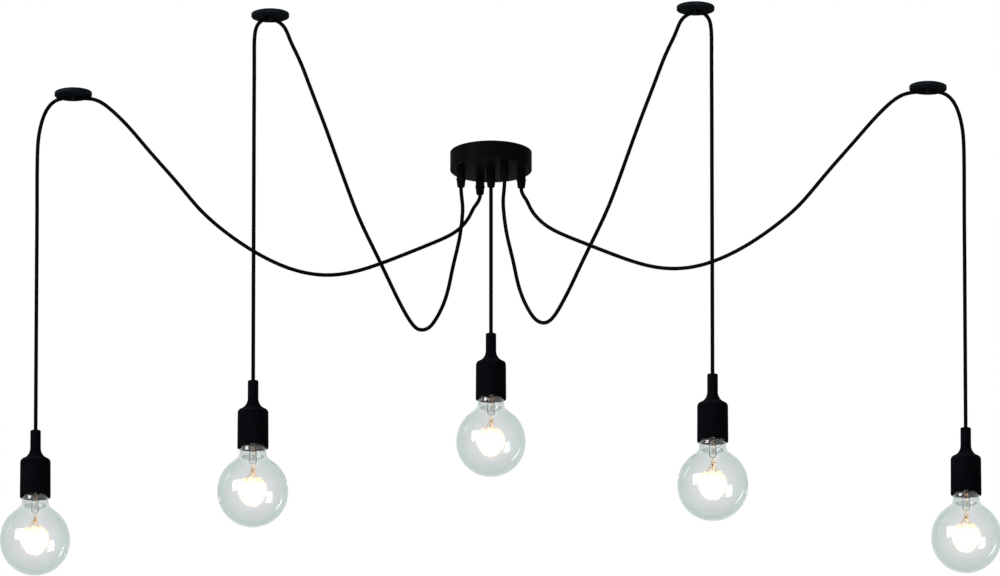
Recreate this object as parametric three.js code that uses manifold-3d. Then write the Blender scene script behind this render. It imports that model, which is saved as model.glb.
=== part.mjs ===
// Five-lamp pendant light. A round canopy feeds five cords: the middle one hangs straight down,
// the other four sag across to small round hooks on the ceiling and hang from those.
// Millimetres, +Z up. The origin is on the ceiling, at the middle of the canopy's bracket.
// +X runs along the row of lamps and +Y away from the viewer.

import * as THREE from 'three';
import { mergeVertices } from 'three/addons/utils/BufferGeometryUtils.js';
import Module from 'manifold-3d';

const wasm = await Module();
wasm.setup();

// Shared clearances and face counts
const seatGap = 0.3;            // between pieces that touch
const swingGap = 0.5;           // between the cord ends that a pendant swings on
const cutOverrun = 1;           // how far a cutting shape runs past the wall it cuts
const roundFaces = 16;          // facets round a lamp
const discFaces = 18;           // facets round a hook disc
const canopyFaces = 28;
const smallFaces = 10;
const cordFaces = 8;
const wireFaces = 4;
const stemFaces = 6;
const mergeDistance = 0.0003;   // corners closer than this are one corner

// Cord
const cordRadius = 2.4;
const cordEndFlatRadius = 1.2;  // the swinging ends are chamfered down to this flat
const cordEndDepth = 0.8;
const flexLength = 30;          // the short stretch where a pendant's cord gives

// Canopy: a spun cup, open to the ceiling
const canopyRadius = 56;
const canopyHeight = 26;
const canopyWall = 1.2;
const canopyEdgeRadius = 1;
const canopyRimTopZ = 0;

// Ledge inside the cup's front wall, which sits on the bracket's foot
const ledgeWidth = 10;
const ledgeReach = 5.6;
const ledgeThickness = 1.7;

// Ceiling bracket: one bent strip along Y
const bracketWidth = 16;
const bracketThickness = 1.6;
const bracketWallGap = 1.4;     // from the rear ear to the cup's inner wall, on the middle line
const bracketEarDepth = 16;
const footReach = 6;
const footWallGap = 2.8;        // from the foot's end to the cup's inner wall, on the middle line
const footDepth = 13.6;
const ceilingScrewHoleRadius = 2.6;
const ceilingScrewSpacing = 52;

// Canopy screw, through the cup's rear wall into the rear ear
const screwRadius = 2;
const screwHeadRadius = 3.6;
const screwHeadHeight = 2;
const screwHeadCrown = 0.7;
const screwLength = 8;
const screwDepthZ = 8;          // below the ceiling
const slotWidth = 0.9;
const slotDepth = 0.8;

// Terminal block under the bracket
const terminalLength = 26;
const terminalWidth = 18;
const terminalHeight = 11;
const terminalPoleCount = 3;
const wireHoleRadius = 1.9;
const wireHoleDepth = 6;

// Cord grips, pushed into the canopy from below
const gripStemRadius = 4.8;
const gripBarbRadius = 6.2;
const gripBarbTopRadius = 4.4;
const gripBarbHeight = 4;
const gripCollarRadius = 6;
const gripCollarLength = 11.4;
const gripBandRadius = 6.7;
const gripBandLength = 1.6;
const gripConeTopRadius = 6.2;
const gripConeEndRadius = 5.1;
const gripConeLength = 10.2;
const gripEdge = 0.8;

// Ceiling hooks: a screwed plate and a snap-on cap with a cord bridge below it
const hookRadius = 25.5;
const plateThickness = 2;
const bossRadius = 7.6;
const bossDepth = 1.4;
const capThickness = 2.1;
const capEdge = 0.6;
const capFloor = 0.7;
const hookScrewRadius = 2.1;
const hookScrewHeadRadius = 4;
const hookScrewHeadDepth = 1.8;
const bridgeClearance = 0.5;    // round the cord
const bridgeWall = 1.6;
const bridgeLength = 5;         // along the cord
const bridgeCurveSteps = 3;

// Lampholder sleeve: soft cover with a slim neck
const sleeveHeight = 93.2;
const sleeveRimRadius = 20.9;
const sleeveShoulderRadius = 20.6;
const sleeveShoulderHeight = 49.4;
const sleeveInnerRadius = 19;
const sleeveInnerHeight = 50;
const sleeveInnerChamfer = 1.6;
const sleeveNeckRadius = 7.15;
const sleeveNeckLength = 26.5;
const sleeveEdge = 0.7;

// Lampholder inside the sleeve
const holderMouthHeight = 10;
const holderBoreRadius = 13.7;
const holderBoreTop = 31.4;
const holderMouthChamfer = 0.9;
const contactRadius = 3;

// Lamp: a 95 mm globe on an E27 cap
const globeRadius = 47.5;
const globeDrop = 61.2;         // the globe's centre below the sleeve's rim
const glassWall = 1.2;
const glassNeckRadius = 18;
const glassStemRadius = 11.3;   // the part cemented into the cap
const glassStemTop = 16;
const capRadius = 13.2;
const capRootRadius = 12.6;
const capInnerRadius = 12.1;
const capSkirtHeight = 6.4;     // the cap's lower edge, above the sleeve's rim
const capSkirtLength = 6.2;
const threadPitch = 3.63;
const threadTurns = 3;
const capShoulderLength = 3.6;
const capInsulatorRadius = 10.4;
const capTipRadius = 4.6;
const capTipHeight = 1.2;
const capCrown = 1.2;           // the shoulder's rise between the insulator and the tip

// Inside the lamp: a glass stem with two leads and a zigzag filament
const mountFlareRadius = 9.6;
const mountFlareTop = 13.2;
const mountTubeRadius = 4.4;
const mountTubeTop = 3;
const mountTubeBottom = -20;
const mountRodRadius = 1.5;
const mountRodBottom = -52;
const mountButtonRadius = 2.6;
const wireRadius = 0.55;
const leadAngleDeg = 12;        // either side of +X
const filamentTop = -46;
const filamentBottom = -77;
const filamentRadius = 15;
const filamentPeakCount = 4;

// Where the cords leave the canopy, as shares of its radius, by pendant from left to right
const gripShares = [[-0.268, 0.607], [-0.732, 0], [0, 0], [0.33, -0.554], [0.741, 0.071]];

// Hooks by pendant: place on the ceiling and turn of the bridge about Z
const hookPlaces = {
  1: { x: -567, y: -272, turnDeg: 185 },
  2: { x: -296.1, y: -624, turnDeg: 195 },
  4: { x: 274.6, y: -655, turnDeg: -15 },
  5: { x: 592.8, y: -301, turnDeg: -5 },
};

// The sleeve rims' depth below the ceiling, by pendant
const rimDepths = [573.5, 609.6, 352.7, 609.9, 578.4];

// Routes of the sagging cords, from a little below the grip to just before the hook
const swagRoutes = {
  1: [
    [-22.5, 31, -68.1], [-28.8, 20, -84], [-44.2, 5, -108.5], [-71.6, -12, -129.8],
    [-99.8, -27, -146.6], [-128.9, -42, -163.3], [-157.9, -57, -179.2], [-188, -72, -193.1],
    [-220, -87, -202.1], [-252.1, -102, -203.6], [-284.1, -118, -198.3], [-315.5, -133, -186.9],
    [-344.8, -148, -172.2], [-372.1, -164, -155.4], [-397.9, -180, -134.9], [-420.5, -195, -111.5],
    [-444, -211, -88], [-467.1, -226, -65], [-489.9, -242, -41.9], [-514.8, -257, -20.5],
    [-539.9, -267.5, -7.9],
  ],
  2: [
    [-39.1, -5, -74.9], [-39.3, -18, -98], [-43.6, -39, -137.9], [-51.2, -62, -179.5],
    [-57.6, -89, -219.8], [-65.7, -121, -256.6], [-75.8, -157, -287.8], [-85.2, -198, -311.4],
    [-96.5, -242, -327], [-106.2, -288, -333.1], [-116.8, -334, -329.5], [-129, -379, -318],
    [-143.1, -421, -299.5], [-160.3, -459, -273.7], [-178, -492, -244], [-194.2, -521, -208.7],
    [-209.7, -547, -171.5], [-226, -570, -131.6], [-242.8, -590, -91.9], [-258.3, -605, -55.7],
    [-270.2, -614, -31.6], [-279.1, -619, -14.8],
  ],
  4: [
    [16.9, -36, -75], [17.2, -50, -98.1], [21.7, -71, -139.2], [29.5, -94, -181.1],
    [36.1, -121, -221.6], [44, -153, -256.8], [53.4, -190, -287], [63.3, -231, -311.3],
    [74.8, -275, -326.8], [85, -320, -332], [95.5, -366, -328.3], [107.8, -411, -316.9],
    [122, -453, -298], [139.2, -490, -272.1], [157, -524, -242.4], [173.2, -553, -207.1],
    [188.7, -579, -169.5], [204.8, -601, -130.5], [221.6, -621, -90.8], [236.8, -636, -55.4],
    [248.7, -645, -31.3], [257.7, -650, -14.5],
  ],
  5: [
    [47.4, 0, -66.5], [54.3, -12, -84.2], [69.5, -26, -107.8], [94.7, -41, -128.5],
    [122.1, -55, -144.6], [150.1, -70, -160.8], [180.2, -85, -177.3], [209.9, -99, -191.3],
    [240, -114, -200.9], [272.1, -129, -203.8], [303.3, -145, -200], [334.1, -160, -190.1],
    [364.1, -176, -176.1], [391.7, -191, -159.6], [417.6, -207, -140.7], [440, -223, -119],
    [462.1, -239, -96.3], [485.2, -254, -73.3], [508.2, -270, -50.5], [537.5, -287, -23.3],
    [561.2, -296, -9.6],
  ],
};

// Routes over a hook, as distance along the bridge and depth below the ceiling. The last point is
// where the pendant starts to hang.
const farHookRoute = [
  [-14, 7.7], [-3, 7.35], [3, 7.35], [13.2, 8.3], [24.4, 12.4], [34.6, 23.2], [42.2, 41.5], [46.9, 66],
  [48.3, 94.7],
];
const nearHookRoute = [
  [-9, 9.2], [-3, 7.45], [3, 7.45], [9.6, 9.4], [16.9, 16], [21.1, 29.9], [22, 54.7],
];
const hookRoutes = { 1: farHookRoute, 2: nearHookRoute, 4: nearHookRoute, 5: farHookRoute };
const stepsPerPoint = 2;

// Sizes worked out from the ones above
const canopyInnerRadius = canopyRadius - canopyWall;
const canopyFloorZ = canopyWall - canopyHeight;
const gripHoleRadius = gripStemRadius + seatGap;
const gripPlaces = gripShares.map(([x, y]) => [x * canopyRadius, y * canopyRadius]);
const cordEndRadius = cordRadius - cordEndFlatRadius;
const plateBottomZ = -plateThickness;
const capTopZ = plateBottomZ - seatGap;
const capBottomZ = capTopZ - capThickness;
const bridgeRadius = cordRadius + bridgeClearance;
const bridgeAxisZ = capBottomZ - bridgeRadius;
const bracketRearY = canopyInnerRadius - bracketWallGap;
const bracketFrontY = footReach + footWallGap - canopyInnerRadius;
const holderRadius = sleeveInnerRadius - seatGap;
const holderTop = sleeveInnerHeight - seatGap;
const cordBoreRadius = cordRadius + seatGap;
const gripTopZ = -canopyHeight - seatGap;
const gripEndZ = gripTopZ - gripCollarLength - gripBandLength - gripConeLength;
const threadStart = capSkirtHeight + capSkirtLength;
const threadEnd = threadStart + threadTurns * threadPitch;
const capShoulderTop = threadEnd + capShoulderLength;
const capTop = capShoulderTop + capCrown + capTipHeight;

const finishes = {
  blackSteel: { color: 0x111212, roughness: 0.35, metalness: 0.7 },
  zincSteel: { color: 0x9a9c98, roughness: 0.45, metalness: 0.9 },
  screwSteel: { color: 0x1a1b1b, roughness: 0.4, metalness: 0.8 },
  creamPlastic: { color: 0xd8d3c4, roughness: 0.5, metalness: 0 },
  blackPlastic: { color: 0x0c0d0d, roughness: 0.5, metalness: 0 },
  hookPlastic: { color: 0x17191b, roughness: 0.38, metalness: 0 },
  cordCloth: { color: 0x0b0b0c, roughness: 0.85, metalness: 0 },
  silicone: { color: 0x0d0e0f, roughness: 0.7, metalness: 0 },
  brass: { color: 0xc69a4a, roughness: 0.3, metalness: 1 },
  glass: { color: 0xd6e0dd, roughness: 0.03, metalness: 0, transparent: true, opacity: 0.35 },
  filament: { color: 0xffd9a0, roughness: 0.4, metalness: 0 },
};

const light = new THREE.Group();

function addPiece(name, geometry, finish, place = [0, 0, 0], turn = 0) {
  const mesh = new THREE.Mesh(geometry, new THREE.MeshStandardMaterial(finishes[finish]));
  mesh.name = name;
  mesh.position.set(...place);
  mesh.rotation.z = turn;
  light.add(mesh);
}

// Only positions are kept, and corners that coincide become one
function closed(geometry) {
  const bare = geometry.clone();
  bare.deleteAttribute('normal');
  bare.deleteAttribute('uv');
  return mergeVertices(bare, mergeDistance);
}

function toSolid(geometry) {
  const merged = closed(geometry);
  return new wasm.Manifold(new wasm.Mesh({
    numProp: 3,
    vertProperties: new Float32Array(merged.attributes.position.array),
    triVerts: new Uint32Array(merged.index.array),
  }));
}

function fromSolid(solid) {
  const mesh = solid.getMesh();
  const geometry = new THREE.BufferGeometry();
  geometry.setAttribute('position', new THREE.BufferAttribute(new Float32Array(mesh.vertProperties), 3));
  geometry.setIndex(new THREE.BufferAttribute(new Uint32Array(mesh.triVerts), 1));
  return geometry;
}

// A profile of [radius, z] pairs turned about Z. It runs from the axis below, round the outside,
// and back to the axis above, or closes on itself.
function turned(profile, faces) {
  const points = profile.map(([radius, z]) => new THREE.Vector2(radius, z));
  return closed(new THREE.LatheGeometry(points, faces).rotateX(Math.PI / 2));
}

function upright(radius, height, baseZ, faces = smallFaces) {
  return new THREE.CylinderGeometry(radius, radius, height, faces).rotateX(Math.PI / 2)
    .translate(0, 0, baseZ + height / 2);
}

function box(size, centre) {
  return new THREE.BoxGeometry(...size).translate(...centre);
}

function cordSection(radius, faces) {
  const corners = [];
  for (let i = 0; i < faces; i += 1) {
    const angle = (2 * Math.PI * (i + 1 / 2)) / faces;
    corners.push(new THREE.Vector2(radius * Math.cos(angle), radius * Math.sin(angle)));
  }
  return new THREE.Shape(corners);
}

// A curve whose steps follow its points, so that a tube has more of them where the points are close
class RouteCurve extends THREE.CatmullRomCurve3 {
  getPointAt(share, target) {
    return this.getPoint(share, target);
  }

  getTangentAt(share, target) {
    return this.getTangent(share, target);
  }
}

function tubeAlong(points, radius, faces) {
  const path = new RouteCurve(points.map((p) => new THREE.Vector3(...p)), false, 'centripetal');
  const options = { steps: stepsPerPoint * (points.length - 1), extrudePath: path, bevelEnabled: false };
  return closed(new THREE.ExtrudeGeometry(cordSection(radius, faces), options));
}

// The middle of a sagging cord's upper end, as close below its grip as the cord's lean allows
function belowGrip([x, y], [nextX, nextY, nextZ]) {
  const across = Math.hypot(nextX - x, nextY - y);
  const lean = across / Math.hypot(across, nextZ - gripEndZ);
  return [x, y, gripEndZ - seatGap - cordRadius * lean];
}

// A straight hanging stretch between two heights, chamfered at both ends
function hangingCord(topZ, bottomZ) {
  const options = {
    depth: topZ - bottomZ - 2 * cordEndDepth,
    steps: 1,
    bevelEnabled: true,
    bevelThickness: cordEndDepth,
    bevelSize: cordEndRadius,
    bevelOffset: -cordEndRadius,
    bevelSegments: 1,
  };
  const tube = new THREE.ExtrudeGeometry(cordSection(cordRadius, cordFaces), options);
  return closed(tube.translate(0, 0, bottomZ + cordEndDepth));
}

function makeCanopy() {
  const corner = canopyEdgeRadius * (1 - Math.SQRT1_2);
  let cup = toSolid(turned([
    [0, -canopyHeight],
    [canopyRadius - canopyEdgeRadius, -canopyHeight],
    [canopyRadius - corner, corner - canopyHeight],
    [canopyRadius, canopyEdgeRadius - canopyHeight],
    [canopyRadius, canopyRimTopZ],
    [canopyInnerRadius, canopyRimTopZ],
    [canopyInnerRadius, canopyFloorZ],
    [0, canopyFloorZ],
  ], canopyFaces));
  const ledgeTopZ = bracketThickness - footDepth + seatGap + ledgeThickness;
  const ledgeOuterY = -canopyInnerRadius - canopyWall / 2;
  const ledgeInnerY = ledgeReach - canopyInnerRadius;
  const ledge = box(
    [ledgeWidth, ledgeInnerY - ledgeOuterY, ledgeThickness],
    [0, (ledgeInnerY + ledgeOuterY) / 2, ledgeTopZ - ledgeThickness / 2],
  );
  cup = cup.add(toSolid(ledge));
  for (const [x, y] of gripPlaces) {
    const hole = upright(gripHoleRadius, canopyWall + 2 * cutOverrun, -canopyHeight - cutOverrun);
    cup = cup.subtract(toSolid(hole.translate(x, y, 0)));
  }
  const wallDepth = canopyWall + 2 * cutOverrun;
  const screwHole = new THREE.CylinderGeometry(
    screwRadius + seatGap, screwRadius + seatGap, wallDepth, smallFaces,
  );
  screwHole.translate(0, canopyRadius - canopyWall / 2, -screwDepthZ);
  return fromSolid(cup.subtract(toSolid(screwHole)));
}

function makeBracket() {
  const footY = bracketFrontY - footReach;
  const innerFrontY = bracketFrontY + bracketThickness;
  const outline = new THREE.Shape([
    [bracketFrontY, 0], [bracketRearY, 0], [bracketRearY, -bracketEarDepth],
    [bracketRearY - bracketThickness, -bracketEarDepth],
    [bracketRearY - bracketThickness, -bracketThickness],
    [innerFrontY, -bracketThickness], [innerFrontY, -footDepth], [footY, -footDepth],
    [footY, bracketThickness - footDepth], [bracketFrontY, bracketThickness - footDepth],
  ].map(([y, z]) => new THREE.Vector2(y, z)));
  const strip = new THREE.ExtrudeGeometry(outline, { depth: bracketWidth, steps: 1, bevelEnabled: false });
  // the outline's axes become Y and Z, and its depth X
  strip.applyMatrix4(new THREE.Matrix4().makeBasis(
    new THREE.Vector3(0, 1, 0), new THREE.Vector3(0, 0, 1), new THREE.Vector3(1, 0, 0),
  ));
  let bracket = toSolid(strip.translate(-bracketWidth / 2, 0, 0));
  for (const side of [-1, 1]) {
    const hole = upright(
      ceilingScrewHoleRadius, bracketThickness + 2 * cutOverrun, -bracketThickness - cutOverrun,
    );
    bracket = bracket.subtract(toSolid(hole.translate(0, (side * ceilingScrewSpacing) / 2, 0)));
  }
  const tapped = new THREE.CylinderGeometry(
    screwRadius + seatGap, screwRadius + seatGap, bracketThickness + 2 * cutOverrun, smallFaces,
  );
  tapped.translate(0, bracketRearY - bracketThickness / 2, -screwDepthZ);
  return fromSolid(bracket.subtract(toSolid(tapped)));
}

function makeCanopyScrew() {
  const screw = toSolid(turned([
    [0, -screwLength],
    [screwRadius, -screwLength],
    [screwRadius, 0],
    [screwHeadRadius, 0],
    [screwHeadRadius, screwHeadHeight - screwHeadCrown],
    [screwHeadRadius - screwHeadCrown, screwHeadHeight],
    [0, screwHeadHeight],
  ], smallFaces));
  const slot = box(
    [2 * screwHeadRadius + 2 * cutOverrun, slotWidth, slotDepth + cutOverrun],
    [0, 0, screwHeadHeight + (cutOverrun - slotDepth) / 2],
  );
  // the screw lies along Y with its head outside the rear wall
  return fromSolid(screw.subtract(toSolid(slot))).rotateX(-Math.PI / 2);
}

function makeTerminalBlock() {
  const middleZ = -bracketThickness - seatGap - terminalHeight / 2;
  let block = toSolid(box([terminalLength, terminalWidth, terminalHeight], [0, 0, middleZ]));
  const pitch = terminalLength / terminalPoleCount;
  for (let pole = 0; pole < terminalPoleCount; pole += 1) {
    const x = (pole - (terminalPoleCount - 1) / 2) * pitch;
    for (const side of [-1, 1]) {
      const entry = new THREE.CylinderGeometry(
        wireHoleRadius, wireHoleRadius, wireHoleDepth + cutOverrun, cordFaces,
      );
      entry.translate(x, side * (terminalWidth / 2 + (cutOverrun - wireHoleDepth) / 2), middleZ);
      block = block.subtract(toSolid(entry));
    }
  }
  return fromSolid(block);
}

function makeGrip() {
  const collarEndZ = gripTopZ - gripCollarLength;
  const coneTopZ = collarEndZ - gripBandLength;
  const barbZ = canopyFloorZ + seatGap;
  return turned([
    [0, gripEndZ],
    [gripConeEndRadius - gripEdge, gripEndZ],
    [gripConeEndRadius, gripEndZ + gripEdge],
    [gripConeTopRadius, coneTopZ],
    [gripBandRadius, coneTopZ],
    [gripBandRadius, collarEndZ],
    [gripCollarRadius, collarEndZ],
    [gripCollarRadius, gripTopZ],
    [gripStemRadius, gripTopZ],
    [gripStemRadius, barbZ],
    [gripBarbRadius, barbZ],
    [gripBarbTopRadius, barbZ + gripBarbHeight],
    [0, barbZ + gripBarbHeight],
  ], smallFaces);
}

function makeHookPlate() {
  const boreRadius = hookScrewRadius + seatGap;
  const sinkRadius = hookScrewHeadRadius + seatGap;
  const bossZ = plateBottomZ - bossDepth;
  const profile = [
    [sinkRadius, bossZ],
    [bossRadius, bossZ],
    [bossRadius, plateBottomZ],
    [hookRadius, plateBottomZ],
    [hookRadius, 0],
    [boreRadius, 0],
    [boreRadius, bossZ + hookScrewHeadDepth],
    [sinkRadius, bossZ],
  ];
  return turned(profile, discFaces);
}

function makeHookScrew() {
  const headZ = plateBottomZ - bossDepth;
  return turned([
    [0, headZ],
    [hookScrewHeadRadius, headZ],
    [hookScrewRadius, headZ + hookScrewHeadDepth],
    [hookScrewRadius, 0],
    [0, 0],
  ], smallFaces);
}

function makeHookCap() {
  const recessRadius = bossRadius + seatGap;
  const cap = toSolid(turned([
    [0, capBottomZ],
    [hookRadius - capEdge, capBottomZ],
    [hookRadius, capBottomZ + capEdge],
    [hookRadius, capTopZ],
    [recessRadius, capTopZ],
    [recessRadius, capBottomZ + capFloor],
    [0, capBottomZ + capFloor],
  ], discFaces));
  // the bridge is a U of the cord's own roundness, standing across the cord
  const legTopZ = capBottomZ + capFloor / 2;
  const outer = new THREE.Shape();
  const outerRadius = bridgeRadius + bridgeWall;
  outer.moveTo(-outerRadius, legTopZ);
  outer.lineTo(-outerRadius, bridgeAxisZ);
  outer.absarc(0, bridgeAxisZ, outerRadius, Math.PI, 2 * Math.PI, false);
  outer.lineTo(outerRadius, legTopZ);
  outer.lineTo(bridgeRadius, legTopZ);
  outer.lineTo(bridgeRadius, bridgeAxisZ);
  outer.absarc(0, bridgeAxisZ, bridgeRadius, 2 * Math.PI, Math.PI, true);
  outer.lineTo(-bridgeRadius, legTopZ);
  const options = { depth: bridgeLength, steps: 1, bevelEnabled: false, curveSegments: bridgeCurveSteps };
  const bridge = new THREE.ExtrudeGeometry(outer, options);
  // the outline's axes become Y and Z, and its depth X
  bridge.applyMatrix4(new THREE.Matrix4().makeBasis(
    new THREE.Vector3(0, 1, 0), new THREE.Vector3(0, 0, 1), new THREE.Vector3(1, 0, 0),
  ));
  return fromSolid(cap.add(toSolid(bridge.translate(-bridgeLength / 2, 0, 0))));
}

// The sleeve's flare between shoulder and neck, as shares of the shoulder radius and of the rise
// from shoulder to neck
const flareShares = [[0.952, 0.1], [0.748, 0.22], [0.524, 0.46], [0.388, 0.75]];

function makeSleeve() {
  const neckBaseZ = sleeveHeight - sleeveNeckLength;
  const rise = neckBaseZ - sleeveShoulderHeight;
  const flare = flareShares.map(([radiusShare, riseShare]) => [
    sleeveShoulderRadius * radiusShare, sleeveShoulderHeight + rise * riseShare,
  ]);
  return turned([
    [sleeveInnerRadius, 0],
    [sleeveRimRadius - sleeveEdge, 0],
    [sleeveRimRadius, sleeveEdge],
    [sleeveShoulderRadius, sleeveShoulderHeight],
    ...flare,
    [sleeveNeckRadius, neckBaseZ],
    [sleeveNeckRadius, sleeveHeight - sleeveEdge],
    [sleeveNeckRadius - sleeveEdge, sleeveHeight],
    [cordBoreRadius, sleeveHeight],
    [cordBoreRadius, sleeveInnerHeight],
    [sleeveInnerRadius - sleeveInnerChamfer, sleeveInnerHeight],
    [sleeveInnerRadius, sleeveInnerHeight - sleeveInnerChamfer],
    [sleeveInnerRadius, 0],
  ], roundFaces);
}

function makeLampholder() {
  return turned([
    [0, capTop + seatGap],
    [contactRadius, capTop + seatGap],
    [contactRadius, holderBoreTop],
    [holderBoreRadius, holderBoreTop],
    [holderBoreRadius, holderMouthHeight + holderMouthChamfer],
    [holderBoreRadius + holderMouthChamfer, holderMouthHeight],
    [holderRadius, holderMouthHeight],
    [holderRadius, holderTop - sleeveInnerChamfer],
    [holderRadius - sleeveInnerChamfer, holderTop],
    [0, holderTop],
  ], roundFaces);
}

// The globe's outline above its lower half, as shares of the globe's radius out from the axis and
// of its drop below the sleeve's rim
const shoulderShares = [
  [0.965, 0.78], [0.895, 0.62], [0.78, 0.48], [0.62, 0.36], [0.45, 0.243], [0.385, 0.13],
];
const lowerArcSteps = 4;

function makeGlass() {
  const outline = (inset) => {
    const radius = globeRadius - inset;
    const points = [];
    for (let i = 0; i <= lowerArcSteps; i += 1) {
      const angle = ((i / lowerArcSteps) * Math.PI) / 2;
      points.push([radius * Math.sin(angle), -globeDrop - radius * Math.cos(angle)]);
    }
    for (const [outShare, dropShare] of shoulderShares) {
      points.push([globeRadius * outShare - inset, -globeDrop * dropShare]);
    }
    points.push([glassNeckRadius - inset, 0]);
    points.push([glassStemRadius - inset, capSkirtHeight - seatGap]);
    points.push([glassStemRadius - inset, glassStemTop]);
    return points;
  };
  return turned([...outline(0), ...outline(glassWall).reverse()], roundFaces);
}

function makeBulbCap() {
  const innerTopZ = capShoulderTop - capShoulderLength / 2;
  const profile = [
    [0, innerTopZ],
    [capInsulatorRadius - capCrown, innerTopZ],
    [capInnerRadius, threadEnd - capCrown],
    [capInnerRadius, capSkirtHeight],
    [capRadius, capSkirtHeight],
    [capRadius, threadStart - threadPitch / 2],
  ];
  for (let turn = 0; turn < threadTurns; turn += 1) {
    profile.push([capRootRadius, threadStart + turn * threadPitch]);
    profile.push([capRadius, threadStart + (turn + 1 / 2) * threadPitch]);
  }
  profile.push([capRootRadius, threadEnd]);
  profile.push([capInsulatorRadius, capShoulderTop]);
  profile.push([capTipRadius, capShoulderTop + capCrown]);
  profile.push([capTipRadius, capTop]);
  profile.push([0, capTop]);
  return turned(profile, smallFaces);
}

function makeMount() {
  const stem = toSolid(turned([
    [0, mountRodBottom - 2 * mountRodRadius],
    [mountButtonRadius, mountRodBottom - mountRodRadius],
    [mountRodRadius, mountRodBottom],
    [mountRodRadius, mountTubeBottom],
    [mountTubeRadius, mountTubeBottom + mountTubeRadius],
    [mountTubeRadius, mountTubeTop],
    [mountFlareRadius, mountFlareTop],
    [0, mountFlareTop],
  ], stemFaces));
  // the filament zigzags round the stem from one lead's end to the other's
  const leadAngle = THREE.MathUtils.degToRad(leadAngleDeg);
  const lastPeak = 2 * filamentPeakCount;
  const zigzag = [];
  for (let i = 0; i <= lastPeak; i += 1) {
    const angle = leadAngle + ((2 * Math.PI - 2 * leadAngle) * i) / lastPeak;
    const z = i % 2 === 0 ? filamentTop : filamentBottom;
    zigzag.push([filamentRadius * Math.cos(angle), filamentRadius * Math.sin(angle), z]);
  }
  let mount = stem.add(toSolid(tubeAlong(zigzag, wireRadius, wireFaces)));
  for (const end of [zigzag[0], zigzag[lastPeak]]) {
    const root = [mountTubeRadius / 2, end[1] / 2, mountTubeBottom + mountTubeRadius];
    mount = mount.add(toSolid(tubeAlong([root, end], wireRadius, wireFaces)));
    mount = mount.add(toSolid(new THREE.OctahedronGeometry(2 * wireRadius).translate(...end)));
  }
  return fromSolid(mount);
}

addPiece('canopy_cup', makeCanopy(), 'blackSteel');
addPiece('ceiling_bracket', makeBracket(), 'zincSteel');
addPiece('canopy_screw', makeCanopyScrew(), 'screwSteel', [0, canopyRadius + seatGap, -screwDepthZ]);
addPiece('terminal_block', makeTerminalBlock(), 'creamPlastic');

const grip = makeGrip();
gripPlaces.forEach(([x, y], i) => addPiece(`cord_grip_${i + 1}`, grip, 'blackPlastic', [x, y, 0]));

const hookPlate = makeHookPlate();
const hookScrew = makeHookScrew();
const hookCap = makeHookCap();
for (const [number, hook] of Object.entries(hookPlaces)) {
  const place = [hook.x, hook.y, 0];
  const turn = THREE.MathUtils.degToRad(hook.turnDeg);
  addPiece(`hook_plate_${number}`, hookPlate, 'hookPlastic', place, turn);
  addPiece(`hook_screw_${number}`, hookScrew, 'zincSteel', place, turn);
  addPiece(`hook_cap_${number}`, hookCap, 'hookPlastic', place, turn);
  const overHook = hookRoutes[number].map(([along, depth]) => [
    hook.x + along * Math.cos(turn), hook.y + along * Math.sin(turn), -depth,
  ]);
  const sagging = swagRoutes[number];
  const route = [belowGrip(gripPlaces[number - 1], sagging[0]), ...sagging, ...overHook];
  addPiece(`swag_cord_${number}`, tubeAlong(route, cordRadius, cordFaces), 'cordCloth');
}

const sleeve = makeSleeve();
const lampholder = makeLampholder();
const glass = makeGlass();
const bulbCap = makeBulbCap();
const mount = makeMount();
rimDepths.forEach((rimDepth, i) => {
  const number = i + 1;
  const hook = hookPlaces[number];
  let [x, y] = gripPlaces[i];
  let swingZ = gripEndZ - swingGap;
  if (hook) {
    const turn = THREE.MathUtils.degToRad(hook.turnDeg);
    const [reach, depth] = hookRoutes[number].at(-1);
    x = hook.x + reach * Math.cos(turn);
    y = hook.y + reach * Math.sin(turn);
    swingZ = -depth - swingGap;
  }
  const dropTopZ = swingZ - flexLength - swingGap;
  const dropEndZ = holderTop + seatGap - rimDepth;
  addPiece(`cord_flex_${number}`, hangingCord(swingZ, swingZ - flexLength), 'cordCloth', [x, y, 0]);
  addPiece(`drop_cord_${number}`, hangingCord(dropTopZ, dropEndZ), 'cordCloth', [x, y, 0]);
  const place = [x, y, -rimDepth];
  addPiece(`holder_sleeve_${number}`, sleeve, 'silicone', place);
  addPiece(`lampholder_${number}`, lampholder, 'blackPlastic', place);
  addPiece(`bulb_cap_${number}`, bulbCap, 'brass', place);
  addPiece(`bulb_glass_${number}`, glass, 'glass', place);
  addPiece(`bulb_mount_${number}`, mount, 'filament', place);
});

export default light;
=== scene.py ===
import math

import bpy
import numpy as np
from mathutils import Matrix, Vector


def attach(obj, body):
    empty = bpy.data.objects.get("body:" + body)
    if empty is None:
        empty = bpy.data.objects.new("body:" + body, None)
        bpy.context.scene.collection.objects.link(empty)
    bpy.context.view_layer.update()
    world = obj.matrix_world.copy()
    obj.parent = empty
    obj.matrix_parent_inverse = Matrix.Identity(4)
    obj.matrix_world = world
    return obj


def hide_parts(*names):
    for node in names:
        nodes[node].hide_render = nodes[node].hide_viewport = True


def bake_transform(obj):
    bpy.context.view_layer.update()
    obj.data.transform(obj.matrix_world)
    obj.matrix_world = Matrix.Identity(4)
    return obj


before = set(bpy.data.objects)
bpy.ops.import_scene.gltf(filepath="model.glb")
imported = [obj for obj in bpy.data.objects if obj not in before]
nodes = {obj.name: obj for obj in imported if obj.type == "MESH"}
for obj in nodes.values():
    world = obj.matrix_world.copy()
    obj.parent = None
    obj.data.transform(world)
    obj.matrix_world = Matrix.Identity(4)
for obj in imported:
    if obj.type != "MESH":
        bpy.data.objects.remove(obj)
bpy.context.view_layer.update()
scene = bpy.context.scene
fixedBody = "fixed_part"
mm = 0.001
print("frame loaded:", len(nodes), "nodes")

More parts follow.
